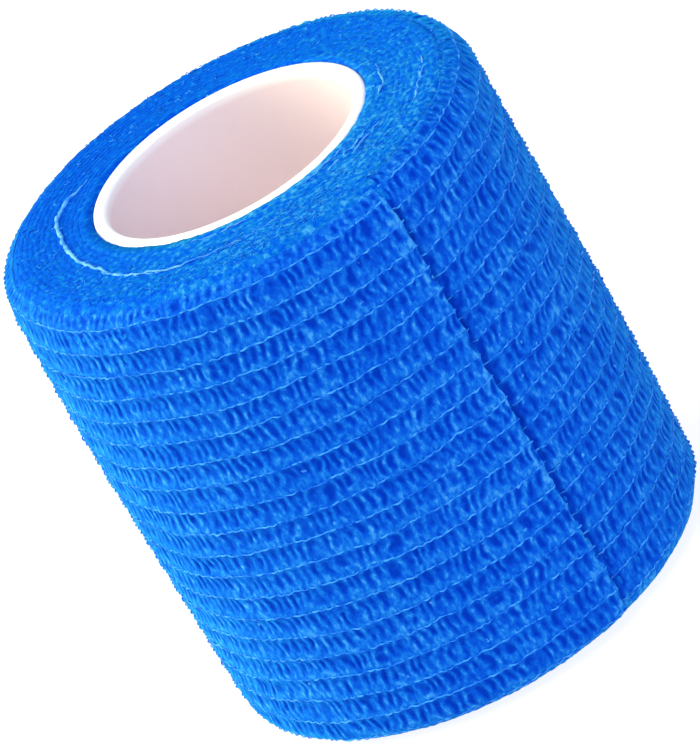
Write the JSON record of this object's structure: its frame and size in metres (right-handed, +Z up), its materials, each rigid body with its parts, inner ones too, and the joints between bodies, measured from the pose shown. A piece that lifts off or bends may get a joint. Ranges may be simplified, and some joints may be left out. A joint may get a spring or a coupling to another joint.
{
  "type": "cohesive bandage roll",
  "caption": "Roll of crinkled elastic cohesive bandage wound on a short white core, standing on its end.",
  "frame": {"origin": "centre of the end that the roll stands on, on the core's axis", "axes": "+Z up along the core; the free end's cut edge lies on the side towards -Y and +X"},
  "size_m": [0.0477, 0.0479, 0.0502],
  "materials": {
    "bandage_cloth": "matt crinkled nonwoven with elastic threads",
    "core_white": "smooth, satin white"
  },
  "bodies": {
    "root": {"bandage": "bandage_cloth", "core": "core_white"}
  },
  "joints": []
}
